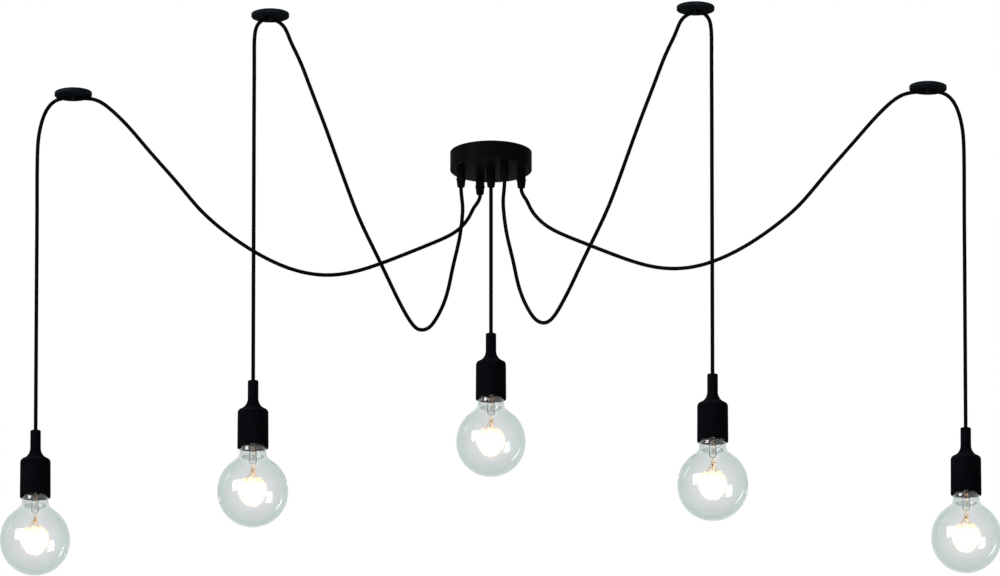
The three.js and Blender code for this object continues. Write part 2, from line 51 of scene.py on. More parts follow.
# The camera looks up at the lamps from a long way off.
cameraSetup = {
    "place": (0.01232, -29.0461, -9.0743), "elevationDeg": 17.0, "lens": 800.0, "sensor": 36.0,
    "nearest": 0.5, "farthest": 80.0,
}


def addCamera(setup):
    camera = bpy.data.objects.new("camera", bpy.data.cameras.new("camera"))
    camera.data.lens = setup["lens"]
    camera.data.sensor_width = setup["sensor"]
    camera.data.clip_start = setup["nearest"]
    camera.data.clip_end = setup["farthest"]
    camera.location = setup["place"]
    rise = math.radians(setup["elevationDeg"])
    camera.rotation_mode = "QUATERNION"
    camera.rotation_quaternion = Vector((0.0, math.cos(rise), math.sin(rise))).to_track_quat("-Z", "Y")
    scene.collection.objects.link(camera)
    scene.camera = camera


addCamera(cameraSetup)


def skin(rings, startPoint=None, endPoint=None, looped=False, lengths=None, wear=None):
    # Points rings[row, side] become a skin: face (row, side) joins side and side + 1 of a row and of
    # the next one. A start or end point closes that end with a fan, and looped joins the last row to
    # the first. The uv map holds the share of the way round and the length along the rows. Wear says
    # how rubbed each row is, from 0 to 1.
    rowCount, sideCount = rings.shape[:2]
    index = np.arange(rowCount * sideCount).reshape(rowCount, sideCount)
    lengths = np.zeros(rowCount) if lengths is None else np.asarray(lengths, float)
    points = rings.reshape(-1, 3)
    pointWear = np.repeat(np.zeros(rowCount) if wear is None else wear, sideCount)
    lower, upper = (index, np.roll(index, -1, 0)) if looped else (index[:-1], index[1:])
    faces = [np.stack([lower, np.roll(lower, -1, 1), np.roll(upper, -1, 1), upper], -1).reshape(-1, 4)]
    step = 1 / sideCount
    share = np.arange(sideCount) * step + np.zeros(lower.shape)
    low = lengths[: len(lower), None] + np.zeros(lower.shape)
    high = np.roll(lengths, -1)[: len(lower), None] + np.zeros(lower.shape)
    uv = [np.stack([share, low, share + step, low, share + step, high, share, high], -1).reshape(-1, 2)]
    for middle, row, order in ((startPoint, 0, -1), (endPoint, -1, 1)):
        if middle is None:
            continue
        centre = np.full(sideCount, len(points))
        points = np.vstack([points, np.asarray(middle, float)[None]])
        pointWear = np.append(pointWear, 0.0)
        pair = [index[row], np.roll(index[row], -1)][::order]
        faces.append(np.stack([centre, *pair], -1))
        edges = [np.arange(sideCount) * step, np.arange(1, sideCount + 1) * step][::order]
        at = np.full(sideCount, lengths[row])
        uv.append(np.stack([np.full(sideCount, 0.5), at, edges[0], at, edges[1], at], -1).reshape(-1, 2))
    return {"points": points, "faces": faces, "uv": np.vstack(uv), "wear": pointWear}


def meshFrom(name, skins):
    # One mesh from several skins, with their points, faces, uv maps and wear one after the other.
    starts = np.cumsum([0] + [len(part["points"]) for part in skins])
    faces = [
        corners for start, part in zip(starts, skins) for block in part["faces"]
        for corners in (block + start).tolist()
    ]
    mesh = bpy.data.meshes.new(name)
    mesh.from_pydata(np.vstack([part["points"] for part in skins]).tolist(), [], faces)
    uv = np.vstack([part["uv"] for part in skins])
    mesh.uv_layers.new(name="uv").data.foreach_set("uv", uv.ravel())
    wear = np.concatenate([part["wear"] for part in skins])
    mesh.attributes.new("wear", "FLOAT", "POINT").data.foreach_set("value", wear)
    return mesh


def addPiece(name, skins, material, body, replaced=(), creaseDeg=35.0):
    mesh = meshFrom(name, skins)
    mesh.shade_smooth()
    mesh.set_sharp_from_angle(angle=math.radians(creaseDeg))
    mesh.materials.append(material)
    piece = bpy.data.objects.new(name, mesh)
    scene.collection.objects.link(piece)
    if body:
        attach(piece, body)
    if replaced:
        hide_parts(*replaced)
    return piece


mostOfSide = 0.48  # an arc takes at most this share of a side


def softCorners(profile, steps=5):
    # Each point is (radius, height, softness). The corner is cut by a quadratic arc that starts and
    # ends that far from it along its two sides. The third column that comes back is the wear: a hump
    # over each arc that bulges outwards, and 0 elsewhere.
    share = np.linspace(0.0, 1.0, steps)[:, None]
    soft = [np.array([[*profile[0][:2], 0.0]])]
    for before, here, after in zip(profile, profile[1:], profile[2:]):
        point = np.array(here[:2], float)
        if here[2] <= 0:
            soft.append(np.array([[*point, 0.0]]))
            continue
        toBefore, toAfter = np.array(before[:2]) - point, np.array(after[:2]) - point
        start = point + toBefore * min(mostOfSide, here[2] / np.linalg.norm(toBefore))
        end = point + toAfter * min(mostOfSide, here[2] / np.linalg.norm(toAfter))
        arc = (1 - share) ** 2 * start + 2 * share * (1 - share) * point + share ** 2 * end
        bulges = toBefore[1] * toAfter[0] > toBefore[0] * toAfter[1]
        soft.append(np.hstack([arc, 4 * share * (1 - share) * bulges]))
    soft.append(np.array([[*profile[-1][:2], 0.0]]))
    return np.vstack(soft)


def turnedRings(profile, centre, sides):
    # Point (row, side) is the profile's radius turned by side's share of a full turn, at its height.
    # The profile is in millimetres, the centre in metres.
    angle = np.arange(sides) * (2 * math.pi / sides)
    radius, height = profile[:, 0, None] * mm, profile[:, 1, None] * mm
    return np.stack([
        centre[0] + radius * np.cos(angle), centre[1] + radius * np.sin(angle),
        centre[2] + height + np.zeros(sides),
    ], -1)


def turnedSkin(profile, centre, sides=96):
    # A profile turned about an upright line. Ends on the axis become closing points, and a profile
    # with both ends off the axis closes on itself.
    lengths = np.append(0.0, np.cumsum(np.linalg.norm(np.diff(profile[:, :2], axis=0), axis=1))) * mm
    onAxis = [profile[0, 0] < 1e-6, profile[-1, 0] < 1e-6]
    rows = slice(int(onAxis[0]), len(profile) - int(onAxis[1]))
    ends = [
        (centre[0], centre[1], centre[2] + profile[at, 1] * mm) if flag else None
        for at, flag in zip((0, -1), onAxis)
    ]
    rings = turnedRings(profile[rows], centre, sides)
    return skin(rings, *ends, not any(onAxis), lengths[rows], profile[rows, 2])


finePerPoint = 60  # a spline is worked out this finely before it is read off evenly


def smoothLine(points, stepLength):
    # A natural cubic spline through the points, by chord length, read off at even distances.
    points = np.asarray(points, float)
    knots = np.append(0.0, np.cumsum(np.linalg.norm(np.diff(points, axis=0), axis=1)))
    gaps = np.diff(knots)
    count = len(points)
    system = np.eye(count)
    rises = np.zeros_like(points)
    inner = np.arange(1, count - 1)
    system[inner, inner - 1] = gaps[:-1]
    system[inner, inner] = 2 * (gaps[:-1] + gaps[1:])
    system[inner, inner + 1] = gaps[1:]
    rises[1:-1] = 6 * np.diff(np.diff(points, axis=0) / gaps[:, None], axis=0)
    bends = np.linalg.solve(system, rises)
    fine = np.linspace(0.0, knots[-1], finePerPoint * count)
    at = np.clip(np.searchsorted(knots, fine, side="right") - 1, 0, count - 2)
    gap = gaps[at][:, None]
    ahead = (knots[at + 1] - fine)[:, None]
    behind = (fine - knots[at])[:, None]
    line = (
        bends[at] * ahead ** 3 / (6 * gap) + bends[at + 1] * behind ** 3 / (6 * gap)
        + (points[at] / gap - bends[at] * gap / 6) * ahead
        + (points[at + 1] / gap - bends[at + 1] * gap / 6) * behind
    )
    return evenLine(line, stepLength)


def evenLine(line, stepLength):
    # The same line with its points at even distances.
    along = np.append(0.0, np.cumsum(np.linalg.norm(np.diff(line, axis=0), axis=1)))
    even = np.linspace(0.0, along[-1], max(2, round(along[-1] / stepLength) + 1))
    return np.stack([np.interp(even, along, line[:, axis]) for axis in range(line.shape[1])], -1)


def tubeRings(line, radius, sides, across):
    # Ring k is a circle round point k, in the plane square to the line there. Its first side lies
    # towards across, one direction for the whole line or one for each point, never along the line.
    tangent = np.gradient(line, axis=0)
    tangent /= np.linalg.norm(tangent, axis=1)[:, None]
    second = np.cross(tangent, np.asarray(across, float))
    second /= np.linalg.norm(second, axis=1)[:, None]
    first = np.cross(second, tangent)
    angle = (np.arange(sides) * (2 * math.pi / sides))[None, :, None]
    return line[:, None] + radius * (first[:, None] * np.cos(angle) + second[:, None] * np.sin(angle))


def tubeSkin(line, radius, sides, across, wear=None):
    # A tube round a line, closed at both ends.
    along = np.append(0.0, np.cumsum(np.linalg.norm(np.diff(line, axis=0), axis=1)))
    return skin(tubeRings(line, radius, sides, across), line[0], line[-1], lengths=along, wear=wear)


class Wire:
    # One output socket of a node tree. Arithmetic on wires adds Math nodes.
    def __init__(self, tree, socket=None):
        self.tree = tree
        self.socket = socket

    def make(self, kind, settings=None, inputs=None, output=0):
        node = self.tree.nodes.new(kind)
        for name, value in (settings or {}).items():
            setattr(node, name, value)
        for name, value in (inputs or {}).items():
            if isinstance(value, Wire):
                self.tree.links.new(value.socket, node.inputs[name])
            else:
                node.inputs[name].default_value = value
        return Wire(self.tree, node.outputs[output] if node.outputs else None)

    def sibling(self, output):
        return Wire(self.tree, self.socket.node.outputs[output])

    def maths(self, operation, first, second=0.0):
        return self.make("ShaderNodeMath", {"operation": operation}, {0: first, 1: second})

    def __add__(self, other):
        return self.maths("ADD", self, other)

    def __radd__(self, other):
        return self.maths("ADD", other, self)

    def __sub__(self, other):
        return self.maths("SUBTRACT", self, other)

    def __rsub__(self, other):
        return self.maths("SUBTRACT", other, self)

    def __mul__(self, other):
        return self.maths("MULTIPLY", self, other)

    def __rmul__(self, other):
        return self.maths("MULTIPLY", other, self)

    def sine(self):
        return self.maths("SINE", self)

    def highest(self, other):
        return self.maths("MAXIMUM", self, other)

    def clamped(self):
        return self.maths("MINIMUM", self, 1.0).highest(0.0)

    def colours(self, low, high):
        # A colour from low, at 0, to high, at 1. Each is a colour or the wire of one.
        ends = [end if isinstance(end, Wire) else (*end, 1.0) for end in (low, high)]
        return self.make("ShaderNodeMix", {"data_type": "RGBA"}, {0: self, 6: ends[0], 7: ends[1]}, 2)

    def bump(self, strength, distance):
        return self.make("ShaderNodeBump", {}, {"Height": self, "Strength": strength, "Distance": distance})

    def noise(self, scale, detail=2.0, roughness=0.5):
        return self.make(
            "ShaderNodeTexNoise", {},
            {"Vector": self, "Scale": scale, "Detail": detail, "Roughness": roughness},
        )


def newMaterial(name):
    material = bpy.data.materials.new(name)
    material.use_nodes = True
    material.node_tree.nodes.clear()
    start = Wire(material.node_tree)
    return material, start, start.make("ShaderNodeTexCoord", output="Object")


def closeMaterial(start, inputs):
    shader = start.make("ShaderNodeBsdfPrincipled", {}, inputs)
    start.make("ShaderNodeOutputMaterial", {}, {"Surface": shader})


# What all the solid finishes share
solidSetup = {"cloudDetail": 3.0, "rubSlope": 2.4, "rubOffset": 0.5, "grainGloss": 0.06}
noiseMiddle = 0.5


def solidFinish(name, look):
    # An even finish with cloudy changes of colour and gloss and a fine grain. Where the wear is high
    # and the cloud lets it through, the edge is rubbed to a smoother, paler finish.
    material, start, place = newMaterial(name)
    cloud = place.noise(look["cloudScale"], solidSetup["cloudDetail"])
    grain = place.noise(look["grainScale"])
    wear = start.make("ShaderNodeAttribute", {"attribute_name": "wear"}, output="Fac")
    rubbed = (wear * (cloud * solidSetup["rubSlope"] - solidSetup["rubOffset"])).clamped()
    spread = (cloud - noiseMiddle) * look["roughnessSpread"]
    gloss = look["roughness"] + spread + (grain - noiseMiddle) * solidSetup["grainGloss"]
    closeMaterial(start, {
        "Base Color": rubbed.colours(cloud.colours(look["dark"], look["light"]), look["worn"]),
        "Roughness": gloss - rubbed * look["polish"],
        "Metallic": look["metallic"],
        "Specular IOR Level": look["specular"],
        "Specular Tint": (*look["edgeTint"], 1.0),
        "Normal": grain.bump(look["grainStrength"], look["grainDepth"]),
    })
    return material


print("ways of making ready")

# Where things hang: the same places and routes as the solids have, in millimetres.
lamps = (1, 2, 3, 4, 5)
gripPlaces = {
    1: (-15.008, 33.992), 2: (-40.992, 0.0), 3: (0.0, 0.0), 4: (18.48, -31.024), 5: (41.496, 3.976),
}
hookPlaces = {1: (-567.0, -272.0), 2: (-296.1, -624.0), 4: (274.6, -655.0), 5: (592.8, -301.0)}
hookTurns = {1: 185.0, 2: 195.0, 4: -15.0, 5: -5.0}
rimDepths = {1: 573.5, 2: 609.6, 3: 352.7, 4: 609.9, 5: 578.4}
swagRoutes = {
    1: [
        (-22.5, 31, -68.1), (-28.8, 20, -84), (-44.2, 5, -108.5), (-71.6, -12, -129.8),
        (-99.8, -27, -146.6), (-128.9, -42, -163.3), (-157.9, -57, -179.2), (-188, -72, -193.1),
        (-220, -87, -202.1), (-252.1, -102, -203.6), (-284.1, -118, -198.3), (-315.5, -133, -186.9),
        (-344.8, -148, -172.2), (-372.1, -164, -155.4), (-397.9, -180, -134.9), (-420.5, -195, -111.5),
        (-444, -211, -88), (-467.1, -226, -65), (-489.9, -242, -41.9), (-514.8, -257, -20.5),
        (-539.9, -267.5, -7.9),
    ],
    2: [
        (-39.1, -5, -74.9), (-39.3, -18, -98), (-43.6, -39, -137.9), (-51.2, -62, -179.5),
        (-57.6, -89, -219.8), (-65.7, -121, -256.6), (-75.8, -157, -287.8), (-85.2, -198, -311.4),
        (-96.5, -242, -327), (-106.2, -288, -333.1), (-116.8, -334, -329.5), (-129, -379, -318),
        (-143.1, -421, -299.5), (-160.3, -459, -273.7), (-178, -492, -244), (-194.2, -521, -208.7),
        (-209.7, -547, -171.5), (-226, -570, -131.6), (-242.8, -590, -91.9), (-258.3, -605, -55.7),
        (-270.2, -614, -31.6), (-279.1, -619, -14.8),
    ],
    4: [
        (16.9, -36, -75), (17.2, -50, -98.1), (21.7, -71, -139.2), (29.5, -94, -181.1),
        (36.1, -121, -221.6), (44, -153, -256.8), (53.4, -190, -287), (63.3, -231, -311.3),
        (74.8, -275, -326.8), (85, -320, -332), (95.5, -366, -328.3), (107.8, -411, -316.9),
        (122, -453, -298), (139.2, -490, -272.1), (157, -524, -242.4), (173.2, -553, -207.1),
        (188.7, -579, -169.5), (204.8, -601, -130.5), (221.6, -621, -90.8), (236.8, -636, -55.4),
        (248.7, -645, -31.3), (257.7, -650, -14.5),
    ],
    5: [
        (47.4, 0, -66.5), (54.3, -12, -84.2), (69.5, -26, -107.8), (94.7, -41, -128.5),
        (122.1, -55, -144.6), (150.1, -70, -160.8), (180.2, -85, -177.3), (209.9, -99, -191.3),
        (240, -114, -200.9), (272.1, -129, -203.8), (303.3, -145, -200), (334.1, -160, -190.1),
        (364.1, -176, -176.1), (391.7, -191, -159.6), (417.6, -207, -140.7), (440, -223, -119),
        (462.1, -239, -96.3), (485.2, -254, -73.3), (508.2, -270, -50.5), (537.5, -287, -23.3),
        (561.2, -296, -9.6),
    ],
}

# Distance along the hook's bridge and depth below the ceiling. The last point is where the pendant
# starts to hang.
farHookRoute = [
    (-14, 7.7), (-3, 7.35), (3, 7.35), (13.2, 8.3), (24.4, 12.4), (34.6, 23.2), (42.2, 41.5), (46.9, 66),
    (48.3, 94.7),
]
nearHookRoute = [(-9, 9.2), (-3, 7.45), (3, 7.45), (9.6, 9.4), (16.9, 16), (21.1, 29.9), (22, 54.7)]
hookRoutes = {1: farHookRoute, 2: nearHookRoute, 4: nearHookRoute, 5: farHookRoute}

# Textile cords. Each is one line from inside its grip to inside its lampholder, cut into a sagging
# stretch, a bend round the upper swing point, and the rest, which bends round the lower one. The
# middle cord has no sagging stretch. The braid's pile stands out from the cord.
cordSetup = {
    "radius": 2.4, "pile": 0.2, "sides": 24, "step": 2.5, "startZ": -48.5, "straightTo": -52.0,
    "swingGap": 0.5, "flexLength": 30.5, "bendReach": 25.0, "gripBendReach": 12.0, "bendMargin": 4.0,
    "shortest": 30.0, "endAboveRim": 50.0, "dropPoints": 6, "middleSwingTop": -50.0,
}
braidLook = {
    "strands": 12, "pitch": 0.0105, "dark": (0.0004, 0.0004, 0.0005), "light": (0.0042, 0.0041, 0.004),
    "roughness": 0.85, "specular": 0.001, "depth": 0.00022, "fuzzScale": 2200.0, "fuzzDetail": 3.0,
    "fuzzRoughness": 0.6, "litFrom": 0.55, "litFuzz": 0.8, "roughnessSpread": 0.2, "fuzzHeight": 0.35,
    "bump": 0.8,
}


def braidFinish(look):
    # Two families of strands wind round the cord in opposite directions. Each is a sine of the share
    # round and of the length along, and where they cross the higher one lies on top. The high strands are
    # painted lighter and the low places between them darker: painted highlight and painted shade.
    material, start, place = newMaterial("cordBraid")
    position = start.make("ShaderNodeTexCoord", output="UV")
    share = start.make("ShaderNodeSeparateXYZ", {}, {0: position})
    around = share * (look["strands"] * 2 * math.pi)
    along = share.sibling("Y") * (look["strands"] * math.pi / look["pitch"])
    height = (around + along).sine().highest((around - along).sine()) * 0.5 + 0.5
    fuzz = place.noise(look["fuzzScale"], look["fuzzDetail"], look["fuzzRoughness"])
    # painted shade in the low places of the braid and painted highlight on the strand tops, with random
    # fuzz in the tone
    lit = (height * height * (look["litFrom"] + fuzz * look["litFuzz"])).clamped()
    closeMaterial(start, {
        "Base Color": lit.colours(look["dark"], look["light"]),
        "Roughness": look["roughness"] + (fuzz - noiseMiddle) * look["roughnessSpread"],
        "Specular IOR Level": look["specular"],
        "Normal": (height + fuzz * look["fuzzHeight"]).bump(look["bump"], look["depth"]),
    })
    return material


cordBraid = braidFinish(braidLook)


def hangPlace(number):
    # Where the pendant hangs, in metres: its x, its y and the height that it swings from.
    if number not in hookPlaces:
        return np.array([*gripPlaces[number], cordSetup["middleSwingTop"]]) * mm
    turn = math.radians(hookTurns[number])
    reach, depth = hookRoutes[number][-1]
    x, y = hookPlaces[number]
    return np.array([
        x + reach * math.cos(turn), y + reach * math.sin(turn), -depth - cordSetup["swingGap"],
    ]) * mm


def cordLine(number):
    # All of a cord from its grip to its lampholder, in metres.
    x, y = gripPlaces[number]
    route = [(x, y, cordSetup["startZ"]), (x, y, cordSetup["straightTo"])]
    if number in hookPlaces:
        turn = math.radians(hookTurns[number])
        hookX, hookY = hookPlaces[number]
        route += swagRoutes[number]
        route += [
            (hookX + along * math.cos(turn), hookY + along * math.sin(turn), -depth)
            for along, depth in hookRoutes[number]
        ]
    topX, topY, topZ = route[-1]
    endZ = cordSetup["endAboveRim"] - rimDepths[number]
    heights = np.linspace(topZ, endZ, cordSetup["dropPoints"] + 1)[1:]
    route += [(topX, topY, z) for z in heights]
    return smoothLine(np.array(route) * mm, cordSetup["step"] * mm)


def addCord(number):
    x, y, swingTop = hangPlace(number)
    line = cordLine(number)
    turn = math.radians(hookTurns.get(number, 0.0))
    across = (-math.sin(turn), math.cos(turn), 0.0)
    rings = tubeRings(line, (cordSetup["radius"] + cordSetup["pile"]) * mm, cordSetup["sides"], across)
    along = np.append(0.0, np.cumsum(np.linalg.norm(np.diff(line, axis=0), axis=1)))
    swingBottom = swingTop - cordSetup["flexLength"] * mm
    bendFrom, bendStart, reach = 0, swingTop, cordSetup["gripBendReach"] * mm
    if number in hookPlaces:
        reach = cordSetup["bendReach"] * mm
        bendStart += reach
        bendFrom = np.flatnonzero(line[:, 2] > bendStart + cordSetup["bendMargin"] * mm)[-1] + 1
    # The bend ends halfway between the swing points, or lower where it would be too short a piece.
    cutZ = min((swingTop + swingBottom) / 2, line[bendFrom, 2] - cordSetup["shortest"] * mm)
    dropFrom = np.flatnonzero(line[:, 2] > cutZ)[-1] + 1
    cutZ = line[dropFrom, 2]

    def stretch(name, first, last, replaced):
        part = slice(first, last + 1)
        cover = skin(rings[part], line[first], line[last], lengths=along[part])
        piece = addPiece(name, [cover], cordBraid, None, (replaced,), creaseDeg=60.0)
        return piece

    if bendFrom:
        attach(stretch(f"swagCord{number}", 0, bendFrom, f"swag_cord_{number}"), fixedBody)
    bend = stretch(f"bendCord{number}", bendFrom, dropFrom, f"cord_flex_{number}")
    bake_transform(bend)
    drop = stretch(f"dropCord{number}", dropFrom, len(line) - 1, f"drop_cord_{number}")
    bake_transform(drop)
    return along[-1]


cordLengths = {number: round(float(addCord(number)), 3) for number in lamps}
print("cords made, lengths in metres:", cordLengths)

# Canopy: a spun steel cup with a satin black coat
canopySetup = {"radius": 56.0, "height": 26.0, "wall": 1.2, "edge": 1.4, "lip": 0.5, "sides": 192}
satinBlack = {
    "dark": (0.0015, 0.0018, 0.0019), "light": (0.0026, 0.003, 0.0032), "worn": (0.005, 0.0055, 0.0057),
    "cloudScale": 60.0, "grainScale": 2600.0, "grainStrength": 0.25, "grainDepth": 0.00006,
    "roughness": 0.36, "roughnessSpread": 0.1, "polish": 0.08, "metallic": 0.0, "specular": 0.002,
    "edgeTint": (1.0, 1.0, 1.0),
}
canopyPaint = solidFinish("canopyPaint", satinBlack)


def addCanopy(setup):
    outer, inner = setup["radius"], setup["radius"] - setup["wall"]
    floor = setup["wall"] - setup["height"]
    profile = softCorners([
        (0.0, -setup["height"], 0),
        (outer, -setup["height"], setup["edge"]),
        (outer, 0.0, setup["lip"]),
        (inner, 0.0, setup["lip"]),
        (inner, floor, setup["edge"]),
        (0.0, floor, 0),
    ], 8)
    cup = turnedSkin(profile, (0, 0, 0), setup["sides"])
    addPiece("canopyShell", [cup], canopyPaint, fixedBody, ("canopy_cup",))


addCanopy(canopySetup)

# Cord grips: (radius, height below the ceiling, softness)
gripSetup = {"sides": 72, "profile": [
    (0.0, -49.5, 0), (5.1, -49.5, 0.7), (6.2, -39.3, 0.2), (6.7, -39.3, 0.4), (6.7, -37.7, 0.4),
    (6.0, -37.7, 0.1), (6.0, -26.3, 0.3), (4.8, -26.3, 0), (4.8, -24.5, 0), (6.2, -24.5, 0.3),
    (4.4, -20.5, 0.6), (0.0, -20.5, 0),
]}
gripPlastic = solidFinish("gripPlastic", {
    **satinBlack, "dark": (0.0013, 0.0015, 0.0016), "light": (0.003, 0.0034, 0.0034), "cloudScale": 160.0,
    "grainScale": 2400.0, "grainStrength": 0.35, "grainDepth": 0.0001, "roughness": 0.55,
})

for number, (x, y) in gripPlaces.items():
    grip = turnedSkin(softCorners(gripSetup["profile"]), (x * mm, y * mm, 0), gripSetup["sides"])
    addPiece(f"cordGrip{number}", [grip], gripPlastic, fixedBody, (f"cord_grip_{number}",))
print("canopy and grips made")

# Ceiling hooks: a plate, and a cap with a bridge that carries the cord
hookSetup = {
    "radius": 25.5, "plateBottom": -2.0, "boss": (7.6, -3.4), "screwHead": 4.3, "screwHole": 2.4,
    "sink": -1.6, "capTop": -2.3, "capBottom": -4.4, "recess": (7.9, -3.7), "edge": 0.8,
    "bridgeInner": 2.9, "bridgeWall": 1.6, "bridgeLength": 5.0, "bridgeTop": -4.05, "bridgeSteps": 25,
    "bridgeSides": 24, "sides": 128,
}
hookPlastic = solidFinish("hookPlastic", {
    **satinBlack, "dark": (0.0035, 0.0049, 0.0056), "light": (0.0064, 0.009, 0.0102),
    "worn": (0.018, 0.023, 0.025), "cloudScale": 90.0, "grainScale": 1800.0, "grainStrength": 0.2,
    "roughness": 0.4, "specular": 0.0002,
})


def bridgeSkin(setup, x, y, turn):
    # A bar bent to a U round the cord. Its section is a circle pulled out to a rounded square, as
    # the square roots of a cosine and a sine, as thick as the wall and as long as the bridge.
    inner, outer = setup["bridgeInner"], setup["bridgeInner"] + setup["bridgeWall"]
    middle, halfWall, half = (inner + outer) / 2, (outer - inner) / 2, setup["bridgeLength"] / 2
    axisZ = setup["capBottom"] - inner
    angle = np.linspace(math.pi, 2 * math.pi, setup["bridgeSteps"])
    bar = np.vstack([
        [[-middle, setup["bridgeTop"]]],
        np.stack([middle * np.cos(angle), axisZ + middle * np.sin(angle)], -1),
        [[middle, setup["bridgeTop"]]],
    ])
    tangent = np.gradient(bar, axis=0)
    tangent /= np.linalg.norm(tangent, axis=1)[:, None]
    normal = np.stack([-tangent[:, 1], tangent[:, 0]], -1)
    side = np.arange(setup["bridgeSides"]) * (2 * math.pi / setup["bridgeSides"])
    across = np.sign(np.cos(side)) * np.sqrt(np.abs(np.cos(side)))
    along = half * np.sign(np.sin(side)) * np.sqrt(np.abs(np.sin(side)))
    section = bar[:, None] + normal[:, None] * (halfWall * across)[None, :, None]
    c, s = math.cos(turn), math.sin(turn)
    rings = np.stack([
        x + along * c - section[..., 0] * s, y + along * s + section[..., 0] * c, section[..., 1],
    ], -1) * mm
    return skin(rings, rings[0].mean(0), rings[-1].mean(0))


def addHook(number, setup):
    x, y = hookPlaces[number]
    centre, radius = (x * mm, y * mm, 0), setup["radius"]
    bossRadius, bossZ = setup["boss"]
    recessRadius, recessZ = setup["recess"]
    plate = softCorners([
        (setup["screwHead"], bossZ, 0), (bossRadius, bossZ, 0.2), (bossRadius, setup["plateBottom"], 0),
        (radius, setup["plateBottom"], 0.5), (radius, 0.0, 0.2), (setup["screwHole"], 0.0, 0),
        (setup["screwHole"], setup["sink"], 0), (setup["screwHead"], bossZ, 0),
    ])[:-1]
    cap = softCorners([
        (0.0, setup["capBottom"], 0), (radius, setup["capBottom"], setup["edge"]),
        (radius, setup["capTop"], 0.4), (recessRadius, setup["capTop"], 0.2),
        (recessRadius, recessZ, 0), (0.0, recessZ, 0),
    ], 7)
    addPiece(
        f"hookPlate{number}", [turnedSkin(plate, centre, setup["sides"])], hookPlastic, fixedBody,
        (f"hook_plate_{number}",),
    )
    bridge = bridgeSkin(setup, x, y, math.radians(hookTurns[number]))
    addPiece(
        f"hookCap{number}", [turnedSkin(cap, centre, setup["sides"]), bridge], hookPlastic, fixedBody,
        (f"hook_cap_{number}",),
    )


for number in hookPlaces:
    addHook(number, hookSetup)
print("hooks made")

# Sleeve and lampholder: (radius, height above the sleeve's rim, softness)
sleeveSetup = {"sides": 112, "profile": [
    (19.0, 24.0, 0), (19.0, 0.0, 0.35), (20.9, 0.0, 0.7), (20.6, 49.8, 1.6), (19.6, 52.0, 0.9),
    (15.5, 54.2, 1.6), (11.4, 57.4, 2.2), (8.4, 62.2, 2.4), (7.2, 67.2, 2.0), (7.15, 93.2, 0.8),
    (2.7, 93.2, 0.3), (2.7, 50.0, 0), (17.4, 50.0, 0.8), (19.0, 48.4, 0.8), (19.0, 24.0, 0),
]}
holderSetup = {"sides": 96, "profile": [
    (0.0, 29.8, 0), (3.0, 29.8, 0.4), (3.4, 31.4, 0.2), (13.7, 31.4, 0.3), (13.7, 10.9, 0.2),
    (14.6, 10.0, 0.3), (18.7, 10.0, 0.6), (18.7, 48.1, 0.5), (17.1, 49.7, 0.5), (0.0, 49.7, 0),
]}
sleeveSilicone = solidFinish("sleeveSilicone", {
    **satinBlack, "dark": (0.0012, 0.0013, 0.0019), "light": (0.0025, 0.0027, 0.0037),
    "worn": (0.006, 0.0064, 0.0076), "cloudScale": 70.0, "grainScale": 1500.0, "grainStrength": 0.4,
    "grainDepth": 0.00012, "roughness": 0.7, "roughnessSpread": 0.14,
})
holderPlastic = solidFinish("holderPlastic", {
    **satinBlack, "cloudScale": 120.0, "grainScale": 2000.0, "grainStrength": 0.2, "roughness": 0.5,
})

# Lamp: a clear globe on a brass screw cap
globeSetup = {
    "radius": 47.5, "drop": 61.2, "wall": 0.9, "sides": 144, "step": 2.0, "bowlSteps": 9,
    "upper": [
        (47.5, 61.2), (45.9, 47.5), (43.4, 40.0), (39.6, 33.0), (34.9, 27.0), (29.4, 22.0),
        (24.9, 18.2), (21.4, 14.9), (18.9, 11.2), (18.1, 7.5), (17.9, 1.5), (16.9, -2.2), (14.2, -4.8),
        (11.9, -6.6), (11.3, -9.0), (11.3, -16.0),
    ],
}
capSetup = {
    "skirt": 6.4, "threadFrom": 12.6, "turns": 3.0, "pitch": 3.63, "crest": 13.2, "root": 12.45,
    "shoulderTop": 27.1, "sides": 96, "rows": 110, "fadeRate": 3, "threadWear": 0.6,
    "inner": 12.2, "rim": 13.35, "rimHeight": 1.2, "neck": 12.6, "neckRise": 0.8, "shoulder": 10.5,
    "hole": 9.6, "wall": 1.0, "innerTop": 12.0, "tipSides": 48,
    "tip": [
        (0.0, 26.2, 0), (9.5, 26.2, 0.2), (9.5, 27.2, 0.3), (5.2, 28.3, 0.6), (4.6, 28.4, 0.1),
        (4.6, 29.0, 0.5), (0.0, 29.5, 0),
    ],
}
capBrass = solidFinish("capBrass", {
    **satinBlack, "dark": (0.7, 0.45, 0.16), "light": (0.92, 0.68, 0.3), "worn": (0.95, 0.76, 0.4),
    "cloudScale": 260.0, "grainScale": 1900.0, "grainStrength": 0.12, "roughness": 0.26,
    "roughnessSpread": 0.16, "metallic": 1.0, "specular": 0.5,
})


# What both glasses share
glassSetup = {"waveScale": 35.0, "waveDetail": 1.0, "slantBlend": 0.5, "slantSpread": 0.06, "bump": 0.3}


def glassFinish(name, look):
    # Clear glass with a faint unevenness. Its colour is darkened and tinted where the wall is seen at a
    # slant:
    # painted shade at the glass's edges, which stands in for the dark surroundings that the edges reflect.
    material, start, place = newMaterial(name)
    wave = place.noise(glassSetup["waveScale"], glassSetup["waveDetail"])
    slant = start.make("ShaderNodeLayerWeight", {}, {"Blend": glassSetup["slantBlend"]}, "Facing")
    # painted edge shade: the colour darkens towards the slanting edges, with a faint wobble from the noise
    paintedEdgeShadeMix = (slant + (wave - noiseMiddle) * glassSetup["slantSpread"]).clamped()
    closeMaterial(start, {
        "Base Color": paintedEdgeShadeMix.colours(look["facing"], look["paintedEdgeShade"]),
        "Roughness": 0.0,
        "Transmission Weight": 1.0,
        "IOR": look["ior"],
        "Normal": wave.bump(glassSetup["bump"], look["waviness"]),
    })
    return material
